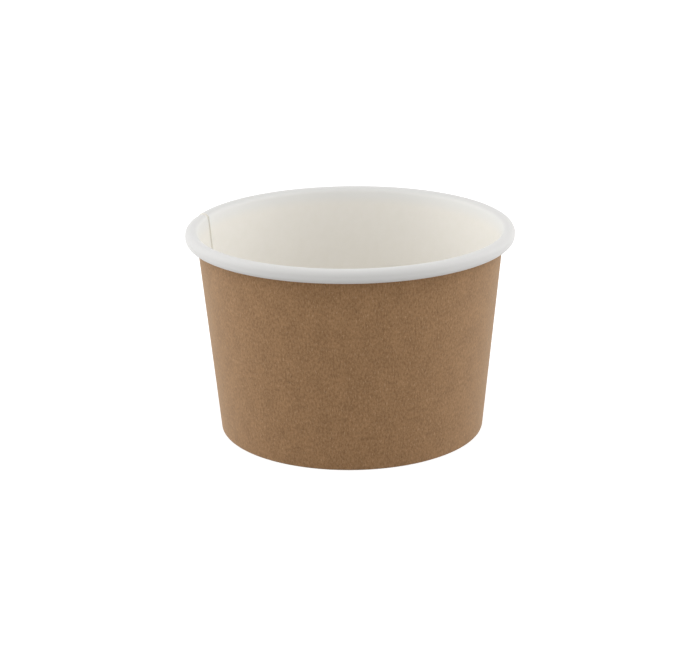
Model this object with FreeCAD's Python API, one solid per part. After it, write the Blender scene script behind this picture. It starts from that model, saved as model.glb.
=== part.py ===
import FreeCAD
import Part
import math
import os

from FreeCAD import Vector

# Paper ice cream tub, made the way such tubs are made, from two pieces of board.
# The side wall is one blank wrapped into a cone. Its ends lap in an upright seam, its top edge is
# rolled outward into the rim, and its bottom edge is folded in and up behind the skirt of the bottom.
# The bottom is a disc whose edge is turned down into that skirt.
# The blank is white on the face that ends up inside the tub and outside the roll, and brown on the other.
# Sizes are in millimetres. The tub stands on z = 0 and its axis is Z.

# Overall size
rim_diameter = 75.0  # over the rolled rim
tub_height = 47.8
base_diameter = 61.1  # over the wall, where its line meets the table

# Board
wall_board = 0.35
bottom_board = 0.30

# Rolled rim
roll_hollow = 1.47  # across the space left inside the roll where the blank lies double
roll_drop = 0.27  # how much taller than wide the roll is
roll_gap = 0.05  # between the wall and the edge that is tucked in behind the roll
tuck_length = 0.40  # straight end of the blank, up inside the roll

# Side seam
seam_angle = 161.3  # of the inner ply's cut edge, anticlockwise from +X seen from above
lap_width = 7.0  # overlap of the two ends, at the rim
rise_width = 1.0  # over which the inner ply climbs onto the outer ply's fold, at the rim

# Bottom disc, and the fold that holds it
fold_inside = 0.05  # inside radius of the folded blank
floor_height = 6.0  # of the floor's upper face
bend_inside = 0.40  # inside radius of the bend between floor and skirt
sealing_film = 0.03  # on each face of the skirt
skirt_clearance = 0.05  # from the skirt's cut edge down to the fold
hem_clearance = 0.60  # from the hem's cut edge up to the bend

# Sizes that follow
rim_radius = rim_diameter / 2
base_radius = base_diameter / 2
roll_radius = roll_hollow / 2 + 2 * wall_board
roll_bottom = tub_height - 2 * roll_radius - roll_drop
fold_radius = wall_board + fold_inside
skirt_space = bottom_board + 2 * sealing_film
bend_height = floor_height - bottom_board - bend_inside
hem_height = bend_height - hem_clearance
skirt_bottom = 2 * wall_board + fold_inside + skirt_clearance

# The wall's line leaves the base and touches the roll, and that sets its slope from upright.
roll_centre = Vector(rim_radius - roll_radius, 0, tub_height - roll_radius)
base_to_roll = roll_centre - Vector(base_radius, 0, 0)
slope = math.atan2(base_to_roll.x, base_to_roll.z)
slope -= math.asin((roll_radius - wall_board) / base_to_roll.Length)

# Angles round the axis, in degrees, from the outer ply's cut edge to where the wall is single again
lap_angle = math.degrees(lap_width / rim_radius)
rise_angle = math.degrees(rise_width / rim_radius)
lap_start = seam_angle - lap_angle
settle_angle = math.degrees(math.acos((base_radius - wall_board) / base_radius))
lap_over = seam_angle + settle_angle

# Directions in the half-plane of a section, anticlockwise from the radius
outward = 0
upward = math.pi / 2
downward = -math.pi / 2
off_the_wall = -slope
to_the_axis = math.pi - slope


# The point that lies out from the wall's brown face and along it from the table.
def on_wall(out, along):
    r = base_radius + out * math.cos(slope) + along * math.sin(slope)
    z = along * math.cos(slope) - out * math.sin(slope)
    return Vector(r, 0, z)


# The point at height z that lies out from the wall's brown face.
def beside_wall(out, z):
    return Vector(base_radius + (out + z * math.sin(slope)) / math.cos(slope), 0, z)


def on_circle(centre, radius, angle):
    return centre + Vector(radius * math.cos(angle), 0, radius * math.sin(angle))


def arc(centre, radius, start, end):
    points = [on_circle(centre, radius, angle) for angle in (start, (start + end) / 2, end)]
    return Part.Arc(*points).toShape()


# One face of a board seen edge on: straight from start to the first arc, from arc to arc, and to end.
def face_line(start, arcs, end):
    edges = []
    here = start
    for curve in arcs:
        edges += [Part.makeLine(here, curve.firstVertex().Point), curve]
        here = curve.lastVertex().Point
    return edges + [Part.makeLine(here, end)]


# The closed outline of a board seen edge on, cut at both ends.
def board_outline(near, far):
    first_cut = Part.makeLine(near[0].firstVertex().Point, far[0].firstVertex().Point)
    last_cut = Part.makeLine(near[-1].lastVertex().Point, far[-1].lastVertex().Point)
    return Part.Wire(Part.__sortEdges__([first_cut, *near, last_cut, *far]))


# Outline of the wall's blank from hem to tucked edge, at a place where it lies so many plies thick.
# The inner ply is ply 0, and plies are counted outward.
def blank_outline(ply, plies):
    lift = (plies - 1) * wall_board
    fold = beside_wall(-fold_radius, fold_radius + lift)
    hem_fold = beside_wall(fold_radius - 2 * wall_board - skirt_space, fold_radius + lift)

    # The lower half of the roll closes in until the tucked edge clears the wall.
    room = (rim_radius - base_radius) * math.cos(slope) - roll_bottom * math.sin(slope) - lift - roll_gap
    under_radius = room / (1 + math.cos(slope) + math.sin(slope))
    under = Vector(rim_radius - under_radius, 0, roll_bottom + under_radius)
    tuck = Vector(math.sin(slope), 0, math.cos(slope)) * tuck_length

    # depth is measured from the white face of the inner ply.
    def face(depth):
        under_arc = arc(under, under_radius - depth, outward, to_the_axis - 2 * math.pi)
        arcs = [
            arc(hem_fold, fold_inside + depth, to_the_axis, 2 * math.pi + downward),
            arc(fold, fold_inside + depth, downward, off_the_wall),
            arc(roll_centre, roll_radius - depth, to_the_axis, outward),
            under_arc,
        ]
        hem_edge = on_wall(-wall_board - skirt_space - depth, hem_height)
        return face_line(hem_edge, arcs, under_arc.lastVertex().Point + tuck)

    return board_outline(face(ply * wall_board), face((ply + 1) * wall_board))


# Outline of the bottom disc from its middle to the skirt's cut edge.
def disc_outline():
    skirt_out = -wall_board - sealing_film
    bend = beside_wall(skirt_out - bottom_board - bend_inside, bend_height)

    # depth is measured from the face that the ice cream lies on.
    def face(depth):
        middle = Vector(0, 0, floor_height - depth)
        turn = arc(bend, bend_inside + bottom_board - depth, upward, off_the_wall)
        return face_line(middle, [turn], on_wall(skirt_out - depth, skirt_bottom))

    return board_outline(face(0), face(bottom_board))


axis = Vector(0, 0, 1)


# The solid that an outline sweeps round the axis from one angle to another.
def turned(wire, start, end):
    section = Part.Face(wire)
    section.rotate(Vector(), axis, start)
    return section.revolve(Vector(), axis, end - start)


# The solid that runs straight from an outline at one angle to an outline at another.
def bridged(start_wire, start, end_wire, end):
    wires = [start_wire.copy(), end_wire.copy()]
    for wire, angle in zip(wires, (start, end)):
        wire.rotate(Vector(), axis, angle)
    return Part.makeLoft(wires, True, True)


# The blank goes once round and laps over its own start. Its inner ply keeps to the wall's line, and the
# outer ply comes down onto that line beyond the inner ply's cut edge.
def make_side_wall():
    single = blank_outline(0, 1)
    inner_ply = blank_outline(0, 2)
    outer_ply = blank_outline(1, 2)
    stretches = [
        turned(outer_ply, lap_start, seam_angle),
        bridged(outer_ply, seam_angle, single, lap_over),
        bridged(single, lap_start - rise_angle, inner_ply, lap_start),
        turned(inner_ply, lap_start, seam_angle),
    ]
    once_round = turned(single, lap_over, 360 + lap_start - rise_angle)
    return once_round.multiFuse(stretches).removeSplitter()


def make_bottom_disc():
    return turned(disc_outline(), 0, 360)


os.makedirs("parts", exist_ok=True)
pieces = {"side_wall": make_side_wall(), "bottom_disc": make_bottom_disc()}
for name, shape in pieces.items():
    solid = shape.Solids[0]
    print(name, len(shape.Solids), solid.isValid(), len(solid.Faces), round(solid.Volume, 2))
    solid.exportStep(f"parts/{name}.step")
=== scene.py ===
import math

import bmesh
import bpy
from mathutils import Matrix, Vector, noise


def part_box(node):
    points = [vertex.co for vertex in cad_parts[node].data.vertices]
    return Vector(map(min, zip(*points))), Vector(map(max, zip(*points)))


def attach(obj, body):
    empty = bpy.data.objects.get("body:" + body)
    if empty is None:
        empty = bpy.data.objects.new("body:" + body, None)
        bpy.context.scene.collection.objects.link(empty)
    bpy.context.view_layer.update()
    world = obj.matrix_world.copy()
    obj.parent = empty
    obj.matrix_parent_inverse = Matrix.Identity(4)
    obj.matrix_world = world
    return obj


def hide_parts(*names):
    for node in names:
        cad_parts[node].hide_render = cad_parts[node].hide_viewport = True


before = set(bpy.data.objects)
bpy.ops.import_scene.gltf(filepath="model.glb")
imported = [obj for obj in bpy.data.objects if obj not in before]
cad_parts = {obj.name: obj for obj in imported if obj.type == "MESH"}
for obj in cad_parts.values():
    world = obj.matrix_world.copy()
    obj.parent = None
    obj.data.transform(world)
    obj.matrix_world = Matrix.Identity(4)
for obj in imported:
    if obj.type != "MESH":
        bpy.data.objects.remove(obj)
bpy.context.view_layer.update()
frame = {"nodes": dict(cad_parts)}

mm = 0.001
print("frame loaded:", ", ".join(frame["nodes"]))

# The tub is two pieces of board. The wall is one blank, wrapped round and lapped at its side seam,
# rolled outward at the top and folded in at the bottom round the skirt of a disc.
wallNode = frame["nodes"]["side_wall"]
tub = {
    "rimRadius": max(math.hypot(v.co.x, v.co.y) for v in wallNode.data.vertices),
    "height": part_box("side_wall")[1][2],
    "floorHeight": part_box("bottom_disc")[1][2],
    "baseRadius": 30.55 * mm,      # over the wall, where its line meets the table
    "wallBoard": 0.35 * mm,
    "bottomBoard": 0.30 * mm,
    "sealingFilm": 0.03 * mm,      # on each face of the skirt
}


# Camera

view = {
    "focalPixels": 1835.95,
    "picturePixels": 700,          # across
    "elevation": 0.31919,          # of the camera above the table, seen from the tub
    "roll": -0.01071,
    "distance": 425.76 * mm,
    "aimHeight": 22.5 * mm,
    "aimRight": -0.281 * mm,       # of the aim from the tub's axis
    "aimUp": 0.412 * mm,           # along the picture's height
    "sensorWidth": 36.0,
    "sees": (10 * mm, 20.0),       # from the nearest to the farthest
}


def placeCamera():
    forward = Vector((0, math.cos(view["elevation"]), -math.sin(view["elevation"])))
    right = Vector((1, 0, 0))
    up = right.cross(forward)
    aim = Vector((0, 0, view["aimHeight"])) + right * view["aimRight"] + up * view["aimUp"]
    turn = Matrix.Rotation(-view["roll"], 3, forward)
    axes = Matrix((turn @ right, turn @ up, -forward)).transposed()
    lens = bpy.data.cameras.new("camera")
    lens.sensor_width = view["sensorWidth"]
    lens.lens = view["focalPixels"] * view["sensorWidth"] / view["picturePixels"]
    lens.clip_start, lens.clip_end = view["sees"]
    camera = bpy.data.objects.new("camera", lens)
    camera.matrix_world = Matrix.Translation(aim - forward * view["distance"]) @ axes.to_4x4()
    bpy.context.collection.objects.link(camera)
    bpy.context.scene.camera = camera


placeCamera()
print("camera placed")


# The boards seen edge on

def onCircle(centre, radius, angle):
    return (centre[0] + radius * math.cos(angle), centre[1] + radius * math.sin(angle))


def arcPoints(centre, radius, start, end, steps):
    return [onCircle(centre, radius, start + (end - start) * step / steps) for step in range(steps + 1)]


def linePoints(start, end, steps):
    # the points between the two ends, without them
    return [
        (start[0] + (end[0] - start[0]) * step / steps, start[1] + (end[1] - start[1]) * step / steps)
        for step in range(1, steps)
    ]


def runLengths(points):
    lengths = [0.0]
    for here, after in zip(points, points[1:]):
        lengths.append(lengths[-1] + math.dist(here, after))
    return lengths


wall = {
    "rollHollow": 1.47 * mm,       # across the space left inside the roll where the blank lies double
    "rollDrop": 0.27 * mm,         # how much taller than wide the roll is
    "rollGap": 0.05 * mm,          # between the wall and the edge tucked in behind the roll
    "tuckLength": 0.40 * mm,       # straight end of the blank, up inside the roll
    "seamAngle": 161.3,            # of the inner ply's cut edge, in degrees anticlockwise from +X
    "lapWidth": 7.0 * mm,          # at the rim
    "riseWidth": 1.0 * mm,         # over which the inner ply climbs onto the outer ply's fold
    "foldInside": 0.05 * mm,       # inside radius of the fold
    "hemHeight": 4.7 * mm,         # of the hem's cut edge, along the wall from the table
    "grainAngle": 262.0,           # where round the tub the grain stands upright
}
wall["rollRadius"] = wall["rollHollow"] / 2 + 2 * tub["wallBoard"]
wall["rollBottom"] = tub["height"] - 2 * wall["rollRadius"] - wall["rollDrop"]

# Angles round the tub: where the outer ply's cut edge is, over which the inner ply climbs onto the fold,
# and over which the outer ply comes back to the wall's line
wall["lapStart"] = wall["seamAngle"] - math.degrees(wall["lapWidth"] / tub["rimRadius"])
wall["riseAngle"] = math.degrees(wall["riseWidth"] / tub["rimRadius"])
wall["settleAngle"] = math.degrees(math.acos(1 - tub["wallBoard"] / tub["baseRadius"]))

# The wall's line leaves the base and touches the roll, and that sets its slope from upright.
rollCentre = (tub["rimRadius"] - wall["rollRadius"], tub["height"] - wall["rollRadius"])
baseToRoll = (rollCentre[0] - tub["baseRadius"], rollCentre[1])
slope = math.atan2(*baseToRoll)
slope -= math.asin((wall["rollRadius"] - tub["wallBoard"]) / math.hypot(*baseToRoll))

# Along the wall, how far the table is from the cone's point, and the roll from the table
wall["coneReach"] = tub["baseRadius"] / math.sin(slope)
wall["straight"] = math.sqrt(math.hypot(*baseToRoll) ** 2 - (wall["rollRadius"] - tub["wallBoard"]) ** 2)
skirtSpace = tub["bottomBoard"] + 2 * tub["sealingFilm"]
toTheAxis = math.pi - slope


def onWall(out, along):
    # the point that lies out from the wall's brown face, and along it from the table
    return (
        tub["baseRadius"] + out * math.cos(slope) + along * math.sin(slope),
        along * math.cos(slope) - out * math.sin(slope),
    )


def besideWall(out, z):
    return (tub["baseRadius"] + (out + z * math.sin(slope)) / math.cos(slope), z)


wallSteps = {"hem": 8, "fold": 6, "wall": 44, "roll": 26, "under": 20, "tuck": 2}


def wallFace(depth, lift):
    # One face of the blank from the hem's cut edge to the tucked edge. depth is measured from the white
    # face, and lift is the room that another ply takes under the fold and behind the roll.
    board = tub["wallBoard"]
    foldRadius = board + wall["foldInside"]
    fold = besideWall(-foldRadius, foldRadius + lift)
    hemFold = besideWall(foldRadius - 2 * board - skirtSpace, foldRadius + lift)
    across = (tub["rimRadius"] - tub["baseRadius"]) * math.cos(slope) - wall["rollBottom"] * math.sin(slope)
    underRadius = (across - lift - wall["rollGap"]) / (1 + math.cos(slope) + math.sin(slope))
    under = (tub["rimRadius"] - underRadius, wall["rollBottom"] + underRadius)

    hemArc = arcPoints(hemFold, wall["foldInside"] + depth, toTheAxis, 1.5 * math.pi, wallSteps["fold"])
    foldArc = arcPoints(fold, wall["foldInside"] + depth, -math.pi / 2, -slope, wallSteps["fold"])
    rollArc = arcPoints(rollCentre, wall["rollRadius"] - depth, toTheAxis, 0, wallSteps["roll"])
    underArc = arcPoints(under, underRadius - depth, 0, toTheAxis - 2 * math.pi, wallSteps["under"])
    hemEdge = onWall(-board - skirtSpace - depth, wall["hemHeight"])
    tucked = (
        underArc[-1][0] + wall["tuckLength"] * math.sin(slope),
        underArc[-1][1] + wall["tuckLength"] * math.cos(slope),
    )
    return (
        [hemEdge]
        + linePoints(hemEdge, hemArc[0], wallSteps["hem"])
        + hemArc
        + foldArc
        + linePoints(foldArc[-1], rollArc[0], wallSteps["wall"])
        + rollArc
        + underArc
        + linePoints(underArc[-1], tucked, wallSteps["tuck"])
        + [tucked]
    )


columnSteps = {"lap": 12, "settle": 10, "single": 264, "rise": 4}


def wallColumns():
    # Angles round the blank, from the outer ply's cut edge to the inner ply's, closer where it bends.
    stops = [
        (wall["lapStart"], columnSteps["lap"]),
        (wall["seamAngle"], columnSteps["settle"]),
        (wall["seamAngle"] + wall["settleAngle"], columnSteps["single"]),
        (wall["lapStart"] + 360 - wall["riseAngle"], columnSteps["rise"]),
        (wall["lapStart"] + 360, columnSteps["lap"]),
        (wall["seamAngle"] + 360, 0),
    ]
    angles = []
    for (start, steps), (end, _) in zip(stops, stops[1:]):
        angles += [start + (end - start) * step / steps for step in range(steps)]
    return angles + [stops[-1][0]]


def plyAt(angle):
    # How far out of the wall's line the blank lies, and how far another ply lifts it, in boards.
    if angle <= wall["seamAngle"]:
        return 1.0, 1.0
    beyond = angle - wall["seamAngle"]
    if beyond < wall["settleAngle"]:
        # straight, seen from above, from the inner ply's cut edge to the wall's line
        settled = math.radians(wall["settleAngle"])
        out = (1 / math.cos(settled - math.radians(beyond)) - 1) / (1 / math.cos(settled) - 1)
        return out, out
    climbed = (angle - wall["lapStart"] - 360 + wall["riseAngle"]) / wall["riseAngle"]
    climbed = min(max(climbed, 0.0), 1.0)
    return 0.0, climbed * climbed * (3 - 2 * climbed)      # eased at both ends


# Meshes

square = ((0, 0), (1, 0), (1, 1), (0, 1))      # its corners in turn
weldReach = 0.0001 * mm
cutEdgeSlot = 2
cutBands = {"first": 0, "last": 1, "start": 2, "end": 3}
bandPitch = 0.008                  # height of a cut edge's band on the texture map, with its gap
bandHeight = 0.006
stripFill = 0.98                   # how much of its half of the map each face of the wall takes
discFill = 0.98                    # and each face of the bottom
facesFrom = 0.034                  # height on the texture map from which the two faces take the rest


def bandPlace(name):
    # from the white face to the brown face
    low = cutBands[name] * bandPitch
    return low, low + bandHeight


def stripPlace(side, across, along):
    # The faces' places on the texture map, one above the other.
    tall = (1 - facesFrom) / 2
    return (across, facesFrom + tall * (side + stripFill * along))


def discPlace(side, across, along):
    # The faces' places on the texture map as two rounds, side by side.
    turn = 2 * math.pi * across
    wide, tall = discFill / 4, discFill * (1 - facesFrom) / 2
    return (
        (1 + 2 * side) / 4 + wide * along * math.cos(turn),
        (1 + facesFrom) / 2 + tall * along * math.sin(turn),
    )


def sheetMesh(name, faces, blank, mapPlace, cutRows, closed, materials):
    # A board from its two faces, each a list of columns of points. blank gives each point's place on the
    # flat board in millimetres, and cutRows names the rows that are cut edges.
    columns, rows = len(faces[0]), len(faces[0][0])
    spans = columns if closed else columns - 1
    quads, slots, spots = [], [], []

    def index(side, column, row):
        return (side * columns + column % columns) * rows + row

    def add(corners, places, slot, flip):
        quads.append([index(*corner) for corner in (reversed(corners) if flip else corners)])
        spots.extend(reversed(places) if flip else places)
        slots.append(slot)

    for column in range(spans):
        for side in (0, 1):
            for row in range(rows - 1):
                corners = [(side, column + right, row + up) for right, up in square]
                places = [mapPlace(side, c / spans, r / (rows - 1)) for side, c, r in corners]
                add(corners, places, side, side == 0)
        for row, band in cutRows.items():
            low, high = bandPlace(band)
            start, end = column / spans, (column + 1) / spans
            corners = [(0, column, row), (1, column, row), (1, column + 1, row), (0, column + 1, row)]
            places = [(start, low), (start, high), (end, high), (end, low)]
            add(corners, places, cutEdgeSlot, row == 0)
    if not closed:
        for column, band in ((0, "start"), (columns - 1, "end")):
            low, high = bandPlace(band)
            for row in range(rows - 1):
                start, end = row / (rows - 1), (row + 1) / (rows - 1)
                corners = [(0, column, row), (0, column, row + 1), (1, column, row + 1), (1, column, row)]
                places = [(start, low), (end, low), (end, high), (start, high)]
                add(corners, places, cutEdgeSlot, column == 0)

    mesh = bpy.data.meshes.new(name)
    mesh.from_pydata([point for face in faces for column in face for point in column], [], quads)
    mesh.polygons.foreach_set("material_index", slots)
    mesh.uv_layers.new(name="OFBake").data.foreach_set("uv", [value for spot in spots for value in spot])
    flat = mesh.attributes.new("blank", "FLOAT_VECTOR", "POINT")
    flatPlaces = [value for column in blank for spot in column for value in spot]
    flat.data.foreach_set("vector", flatPlaces * len(faces))
    work = bmesh.new()
    work.from_mesh(mesh)
    bmesh.ops.remove_doubles(work, verts=work.verts, dist=weldReach)
    for face in work.faces:
        face.smooth = True
        for edge in face.edges:
            edge.smooth = edge.smooth and face.material_index != cutEdgeSlot
    work.to_mesh(mesh)
    work.free()
    for material in materials:
        mesh.materials.append(material)
    piece = bpy.data.objects.new(name, mesh)
    bpy.context.collection.objects.link(piece)
    return piece


form = {
    "rimStray": 0.10 * mm,         # how far the rim strays from a true circle
    "rimLobes": 1.2,               # how often it does so round the tub
    "wallStray": 0.02 * mm,        # height of the shallow waves in the wall
    "wallLobes": 7,
    "rimDrift": 0.5,               # how much the strays change on the way up
    "wallDrift": 0.25,
    "floorStray": 0.12 * mm,       # how far the floor is from flat
    "floorWave": 22 * mm,          # across one wave of it
    "floorSag": 0.8,               # how much more it dips than it rises
    "floorReach": 0.93,            # of the base's radius, beyond which it is held flat
}


def turnedPoint(angle, r, z):
    # The point at that angle round the tub, a little off the true circle as in any wrapped board.
    turn = math.radians(angle)
    outward = Vector((math.cos(turn), math.sin(turn), 0))
    rise = z / tub["height"]
    up = Vector((0, 0, rise))
    stray = noise.noise(outward * form["rimLobes"] + up * form["rimDrift"]) * form["rimStray"] * rise
    stray += noise.noise((outward + up * form["wallDrift"]) * form["wallLobes"]) * form["wallStray"]
    return (outward.x * (r + stray), outward.y * (r + stray), z)


def makeWall(materials):
    board = tub["wallBoard"]
    angles = wallColumns()
    faces = []
    for side in (0, 1):
        columns = []
        for angle in angles:
            out, lift = plyAt(angle)
            points = wallFace((side + out) * board, lift * board)
            columns.append([turnedPoint(angle, r, z) for r, z in points])
        faces.append(columns)

    # The flat blank is a sector whose centre is the cone's point, so its grain fans across the tub.
    lengths = runLengths(wallFace(board / 2, 0))
    cornerRow = wallSteps["hem"] + wallSteps["fold"] + 1
    blank = []
    for angle in angles:
        fan = math.radians(angle - wall["grainAngle"]) * math.sin(slope)
        radii = [(wall["coneReach"] + length - lengths[cornerRow]) / mm for length in lengths]
        blank.append([(radius * math.sin(fan), radius * math.cos(fan), 0) for radius in radii])
    cutRows = {0: "first", len(lengths) - 1: "last"}
    return sheetMesh("wall_blank", faces, blank, stripPlace, cutRows, False, materials)


disc = {
    "bendInside": 0.40 * mm,       # inside radius of the bend between floor and skirt
    "skirtBottom": 0.80 * mm,      # of the skirt's cut edge, along the wall from the table
    "columns": 192,                # of points round the bottom
    "steps": {"floor": 40, "bend": 8, "skirt": 8},
}


def discFace(depth):
    # One face of the bottom from its middle to the skirt's cut edge. depth is measured from the top.
    steps = disc["steps"]
    skirtOut = -tub["wallBoard"] - tub["sealingFilm"]
    bendHeight = tub["floorHeight"] - tub["bottomBoard"] - disc["bendInside"]
    bend = besideWall(skirtOut - tub["bottomBoard"] - disc["bendInside"], bendHeight)
    radius = disc["bendInside"] + tub["bottomBoard"] - depth
    turn = arcPoints(bend, radius, math.pi / 2, -slope, steps["bend"])
    middle = (0, tub["floorHeight"] - depth)
    skirtEnd = onWall(skirtOut - depth, disc["skirtBottom"])
    return (
        [middle]
        + linePoints(middle, turn[0], steps["floor"])
        + turn
        + linePoints(turn[-1], skirtEnd, steps["skirt"])
        + [skirtEnd]
    )


def makeBottom(materials):
    angles = [360 * column / disc["columns"] for column in range(disc["columns"])]
    reach = tub["baseRadius"] * form["floorReach"]
    faces = []
    for depth in (0, tub["bottomBoard"]):
        columns = []
        for angle in angles:
            turn = math.radians(angle)
            column = []
            for r, z in discFace(depth):
                place = Vector((r * math.cos(turn), r * math.sin(turn), 0))
                wave = (noise.noise(place / form["floorWave"]) - form["floorSag"]) * form["floorStray"]
                column.append((place.x, place.y, z + wave * max(1 - (r / reach) ** 2, 0)))
            columns.append(column)
        faces.append(columns)
    lengths = runLengths(discFace(tub["bottomBoard"] / 2))
    blank = []
    for angle in angles:
        across, up = math.cos(math.radians(angle)) / mm, math.sin(math.radians(angle)) / mm
        blank.append([(length * across, length * up, 0) for length in lengths])
    cutRows = {len(lengths) - 1: "last"}
    return sheetMesh("bottom_board", faces, blank, discPlace, cutRows, True, materials)


# Materials

class Wire:
    # A socket on its way through a material. Arithmetic on it adds Math nodes.
    def __init__(self, tree, socket=None):
        self.tree = tree
        self.socket = socket

    def node(self, kind, settings, inputs, output=0):
        # settings are set first. inputs are values or other wires.
        made = self.tree.nodes.new(kind)
        for name, value in settings.items():
            setattr(made, name, value)
        for name, value in inputs.items():
            if isinstance(value, Wire):
                self.tree.links.new(value.socket, made.inputs[name])
            else:
                made.inputs[name].default_value = value
        return None if output is None else Wire(self.tree, made.outputs[output])

    def maths(self, operation, first, second=0.0):
        return self.node("ShaderNodeMath", {"operation": operation}, {0: first, 1: second})

    def __add__(self, other):
        return self.maths("ADD", self, other)

    def __radd__(self, other):
        return self.maths("ADD", other, self)

    def __sub__(self, other):
        return self.maths("SUBTRACT", self, other)

    def __rsub__(self, other):
        return self.maths("SUBTRACT", other, self)

    def __mul__(self, other):
        return self.maths("MULTIPLY", self, other)

    def __rmul__(self, other):
        return self.maths("MULTIPLY", other, self)

    def fraction(self):
        return self.maths("FRACT", self)

    def between(self, low, high):
        # 0 at low and under, 1 at high and over, smooth from one to the other
        inputs = {"Value": self, "From Min": low, "From Max": high}
        return self.node("ShaderNodeMapRange", {"interpolation_type": "SMOOTHSTEP"}, inputs)

    def larger(self, other):
        return self.maths("MAXIMUM", self, other)

    def mix(self, first, second):
        # from the first colour to the second, by this wire
        return self.node("ShaderNodeMix", {"data_type": "RGBA"}, {0: self, 6: first, 7: second}, output=2)

    def length(self):
        return self.node("ShaderNodeVectorMath", {"operation": "LENGTH"}, {0: self}, output="Value")

    def stretched(self, across, along, shift):
        # the flat board's place, so many patterns to the millimetre across and along the grain
        inputs = {0: self, 1: (across, along, 1), 2: (shift, shift, shift)}
        return self.node("ShaderNodeVectorMath", {"operation": "MULTIPLY_ADD"}, inputs)

    def grain(self, across, along, shift, detail=2.0, rough=0.5):
        # a cloudy pattern from 0 to 1
        inputs = {"Vector": self.stretched(across, along, shift), "Scale": 1.0}
        inputs.update({"Detail": detail, "Roughness": rough})
        return self.node("ShaderNodeTexNoise", {}, inputs)


def colour(red, green, blue):
    # a colour as picked on a screen, from 0 to 255, for a socket
    def linear(share):
        return share / 12.92 if share <= 0.04045 else ((share + 0.055) / 1.055) ** 2.4

    return (linear(red / 255), linear(green / 255), linear(blue / 255), 1)


white = colour(255, 255, 255)


def newMaterial(name):
    material = bpy.data.materials.new(name)
    material.use_nodes = True
    material.node_tree.nodes.clear()
    return material, Wire(material.node_tree)


def flatPlace(start):
    # where a point lies on the flat board, in millimetres
    return start.node("ShaderNodeAttribute", {"attribute_name": "blank"}, {}, output="Vector")


def finishMaterial(start, inputs):
    surface = start.node("ShaderNodeBsdfPrincipled", {}, inputs)
    start.node("ShaderNodeOutputMaterial", {}, {"Surface": surface}, output=None)


# In each pattern here, across and along say how many patches lie to the millimetre across the grain and
# along it, and shift keeps one pattern from following another. A mark starts to show at the first value
# of its pattern and has its full strength at the second.
kraft = {
    "dark": colour(132, 97, 62),
    "light": colour(174, 134, 94),
    "cloud": {"across": 0.30, "along": 0.20, "shift": 3.0},
    "cloudShare": 0.20,                # of the mottle, and the rest is formation
    "formation": {"across": 2.2, "along": 1.25, "shift": 11.0, "detail": 4.0, "rough": 0.75},
    "tones": (0.31, 0.69),             # of the mottle, from dark to light
    "marks": {
        "fibres": {
            "grain": {"across": 5.0, "along": 0.9, "shift": 23.0},
            "shows": (0.58, 0.78),
            "strength": 0.75,
            "colour": colour(202, 166, 128),
        },
        "crossing": {
            "grain": {"across": 2.6, "along": 3.8, "shift": 31.0, "rough": 0.6},
            "shows": (0.58, 0.80),
            "strength": 0.45,
            "colour": colour(202, 166, 128),
        },
        "streaks": {
            "grain": {"across": 6.0, "along": 0.7, "shift": 47.0},
            "shows": (0.58, 0.78),
            "strength": 0.70,
            "colour": colour(90, 63, 38),
        },
        "specks": {
            "grain": {"across": 4.2, "along": 3.0, "shift": 59.0, "detail": 1.0},
            "shows": (0.70, 0.80),
            "strength": 0.80,
            "colour": colour(90, 63, 38),
        },
    },
    "fibresRise": 0.5,                 # against the formation's relief
    "streaksDip": 0.3,
    "relief": 0.012 * mm,
    "bump": 0.6,
    "roughness": 0.62,
    "roughnessSpread": 0.12,           # between dark and light
    "gloss": 0.12,
    "sheen": colour(232, 210, 185),    # of the loose fibre ends, seen from the side
    "sheenWeight": 0.5,
    "sheenRoughness": 0.6,
}


def kraftFace():
    # Brown paper: cloudy where the pulp lay thick, with fine fibres along the grain and a few dark bits.
    material, start = newMaterial("kraftFace")
    flat = flatPlace(start)
    cloud = flat.grain(**kraft["cloud"])
    formation = flat.grain(**kraft["formation"])
    mottle = formation * (1 - kraft["cloudShare"]) + cloud * kraft["cloudShare"]
    tone = mottle.between(*kraft["tones"])
    paint = tone.mix(kraft["dark"], kraft["light"])
    shown = {}
    for name, mark in kraft["marks"].items():
        shown[name] = flat.grain(**mark["grain"]).between(*mark["shows"])
        paint = (shown[name] * mark["strength"]).mix(paint, mark["colour"])
    height = formation + shown["fibres"] * kraft["fibresRise"] - shown["streaks"] * kraft["streaksDip"]
    relief = {"Height": height, "Strength": kraft["bump"], "Distance": kraft["relief"]}
    finishMaterial(start, {
        "Base Color": paint,
        "Roughness": kraft["roughness"] + (tone - 0.5) * kraft["roughnessSpread"],
        "Normal": start.node("ShaderNodeBump", {}, relief),
        "Specular IOR Level": kraft["gloss"],
        "Sheen Weight": kraft["sheenWeight"],
        "Sheen Roughness": kraft["sheenRoughness"],
        "Sheen Tint": kraft["sheen"],
    })
    return material


coating = {
    "clear": colour(245, 242, 236),
    "shaded": colour(243, 240, 233),
    "lipPaintedLight": colour(239, 239, 237),      # painted light: less warm towards the rim, where less light comes back off the warm wall inside
    "lipPaintedLightFade": 3.5,                    # millimetres of wall over which it turns to that
    "roll": colour(225, 224, 222),     # painted shade: duller over the roll, for the shade that falls on the rim
    "rollPaintedShadeFade": 1.2,                   # millimetres of roll over which it turns to that
    "formation": {"across": 0.55, "along": 0.40, "detail": 3.0, "rough": 0.55},
    "fine": {"across": 3.0, "along": 1.6},
    "fineShift": 7,                    # of the fine pattern from the formation
    "fineShare": 0.3,                  # of the paint's pattern, and the rest is formation
    "tones": (0.28, 0.70),             # of that pattern, from shaded to clear
    "formationRise": 1.5,
    "fineRise": 0.5,
    "relief": 0.010 * mm,
    "bump": 0.5,
    "roughness": 0.38,
    "roughnessSpread": 0.10,
    "gloss": 0.18,
}


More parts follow.
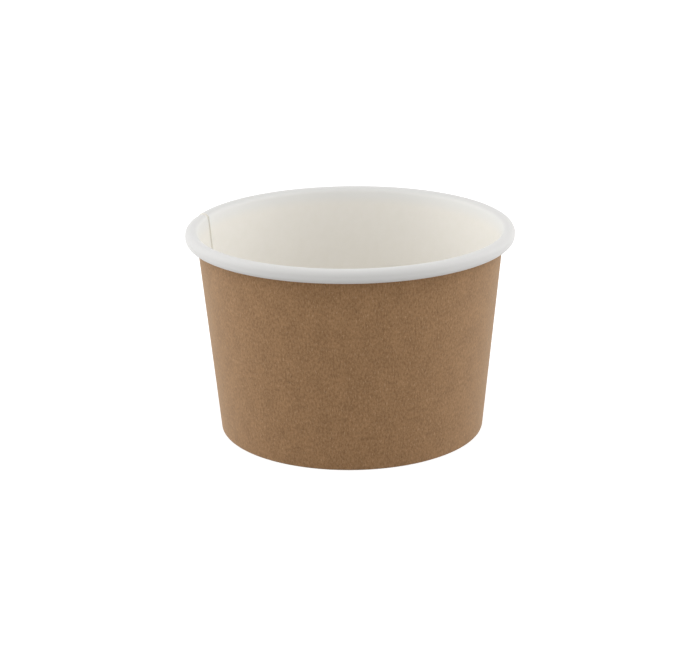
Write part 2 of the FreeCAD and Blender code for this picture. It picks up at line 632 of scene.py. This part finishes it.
def coatedFace(name, shift, rollFrom=None):
    # White board under a thin clear coat: nearly even, with the sheet's cloudiness just showing. With
    # rollFrom, painted light makes it less warm towards the rim and painted shade makes it duller over the
    # roll.
    # rollFrom is how many millimetres from the cone's point the roll begins.
    material, start = newMaterial(name)
    flat = flatPlace(start)
    formation = flat.grain(shift=shift, **coating["formation"])
    fine = flat.grain(shift=shift + coating["fineShift"], **coating["fine"])
    pattern = formation * (1 - coating["fineShare"]) + fine * coating["fineShare"]
    paint = pattern.between(*coating["tones"]).mix(coating["shaded"], coating["clear"])
    if rollFrom is not None:
        along = flat.length()
        # painted light: the white turns less warm towards the rim
        paint = along.between(rollFrom - coating["lipPaintedLightFade"], rollFrom).mix(paint, coating["lipPaintedLight"])
        # painted shade: the white turns duller over the roll
        paint = along.between(rollFrom, rollFrom + coating["rollPaintedShadeFade"]).mix(paint, coating["roll"])
    height = formation * coating["formationRise"] + fine * coating["fineRise"]
    relief = {"Height": height, "Strength": coating["bump"], "Distance": coating["relief"]}
    finishMaterial(start, {
        "Base Color": paint,
        "Roughness": coating["roughness"] + (fine - 0.5) * coating["roughnessSpread"],
        "Normal": start.node("ShaderNodeBump", {}, relief),
        "Specular IOR Level": coating["gloss"],
    })
    return material


cut = {
    "pale": colour(253, 252, 247),
    "dull": colour(244, 241, 231),
    "fibres": {"across": 6.0, "along": 6.0, "shift": 71.0, "rough": 0.7},
    "tones": (0.3, 0.7),               # of the fibres, from dull to pale
    "liner": (0.94, 1.0),              # where the white core gives way to brown, across the board
    "relief": 0.02 * mm,
    "bump": 0.7,
    "roughness": 0.9,
}


def cutEdge():
    # Bare fibres where the board was cut: the white core, and the brown liner on its outer side.
    material, start = newMaterial("cutEdge")
    fibres = flatPlace(start).grain(**cut["fibres"])
    mapped = start.node("ShaderNodeUVMap", {"uv_map": "OFBake"}, {})
    height = start.node("ShaderNodeSeparateXYZ", {}, {0: mapped}, output="Y")
    across = (height * (1 / bandPitch)).fraction() * (bandPitch / bandHeight)
    paint = fibres.between(*cut["tones"]).mix(cut["dull"], cut["pale"])
    paint = across.between(*cut["liner"]).mix(paint, kraft["light"])
    relief = {"Height": fibres, "Strength": cut["bump"], "Distance": cut["relief"]}
    bump = start.node("ShaderNodeBump", {}, relief)
    finishMaterial(start, {"Base Color": paint, "Roughness": cut["roughness"], "Normal": bump})
    return material


print("making the two boards")
edge = cutEdge()
insideFace = coatedFace("coatedWall", shift=5.0, rollFrom=(wall["coneReach"] + wall["straight"]) / mm)
wallPiece = makeWall([insideFace, kraftFace(), edge])
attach(wallPiece, "root")
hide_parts("side_wall")

floorFace = coatedFace("coatedBottom", shift=83.0)
underside = coatedFace("plainUnderside", shift=97.0)
bottomPiece = makeBottom([floorFace, underside, edge])
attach(bottomPiece, "root")
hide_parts("bottom_disc")


# Floor, lights and surroundings

studio = {
    "floorRadius": 3.0,
    "floorSides": 96,
    "floor": colour(200, 200, 200),
    "floorGlow": 0.72,             # what the camera sees on top of the light that falls on the floor
    "surroundings": 0.55,          # the pale room that lights the tub from all sides
    "boxes": {
        "left": {"from": (-0.70, 0.0, 0.35), "size": (1.0, 0.8), "watts": 3.8},
        "right": {"from": (0.70, 0.0, 0.35), "size": (1.0, 0.8), "watts": 3.45},
        "above": {"from": (0.0, 0.0, 0.80), "size": (1.2, 1.2), "watts": 0.8},
    },
}


def seenAsBackground(start):
    # 1 for what the camera sees, straight or in a gloss or through something clear, 0 for light on the tub
    camera, glossy, clear = [
        start.node("ShaderNodeLightPath", {}, {}, output=ray)
        for ray in ("Is Camera Ray", "Is Glossy Ray", "Is Transmission Ray")
    ]
    return camera.larger(glossy).larger(clear)


def makeFloor():
    mesh = bpy.data.meshes.new("floor")
    work = bmesh.new()
    sides, radius = studio["floorSides"], studio["floorRadius"]
    bmesh.ops.create_circle(work, cap_ends=True, segments=sides, radius=radius)
    work.to_mesh(mesh)
    work.free()
    floor = bpy.data.objects.new("floor", mesh)
    bpy.context.collection.objects.link(floor)
    material, start = newMaterial("paleFloor")
    seen = seenAsBackground(start)
    matt = start.node("ShaderNodeBsdfDiffuse", {}, {"Color": studio["floor"]})
    glow = start.node("ShaderNodeEmission", {}, {"Color": white, "Strength": seen * studio["floorGlow"]})
    both = start.node("ShaderNodeAddShader", {}, {0: matt, 1: glow})
    start.node("ShaderNodeOutputMaterial", {}, {"Surface": both}, output=None)
    mesh.materials.append(material)


def makeSurroundings():
    world = bpy.data.worlds.new("surroundings")
    world.use_nodes = True
    world.node_tree.nodes.clear()
    bpy.context.scene.world = world
    start = Wire(world.node_tree)
    seen = seenAsBackground(start)
    strength = studio["surroundings"] + seen * (1 - studio["surroundings"])
    backdrop = start.node("ShaderNodeBackground", {}, {"Color": white, "Strength": strength})
    start.node("ShaderNodeOutputWorld", {}, {"Surface": backdrop}, output=None)


def placeSoftboxes():
    aim = Vector((0, 0, tub["height"] / 2))
    for name, box in studio["boxes"].items():
        lamp = bpy.data.lights.new(name, "AREA")
        lamp.shape = "RECTANGLE"
        lamp.size, lamp.size_y = box["size"]
        lamp.energy = box["watts"]
        holder = bpy.data.objects.new(name, lamp)
        holder.location = box["from"]
        holder.rotation_euler = (aim - Vector(box["from"])).to_track_quat("-Z", "Y").to_euler()
        bpy.context.collection.objects.link(holder)


makeFloor()
makeSurroundings()
placeSoftboxes()
bpy.context.scene.view_settings.view_transform = "Standard"
print("stage and lights placed")
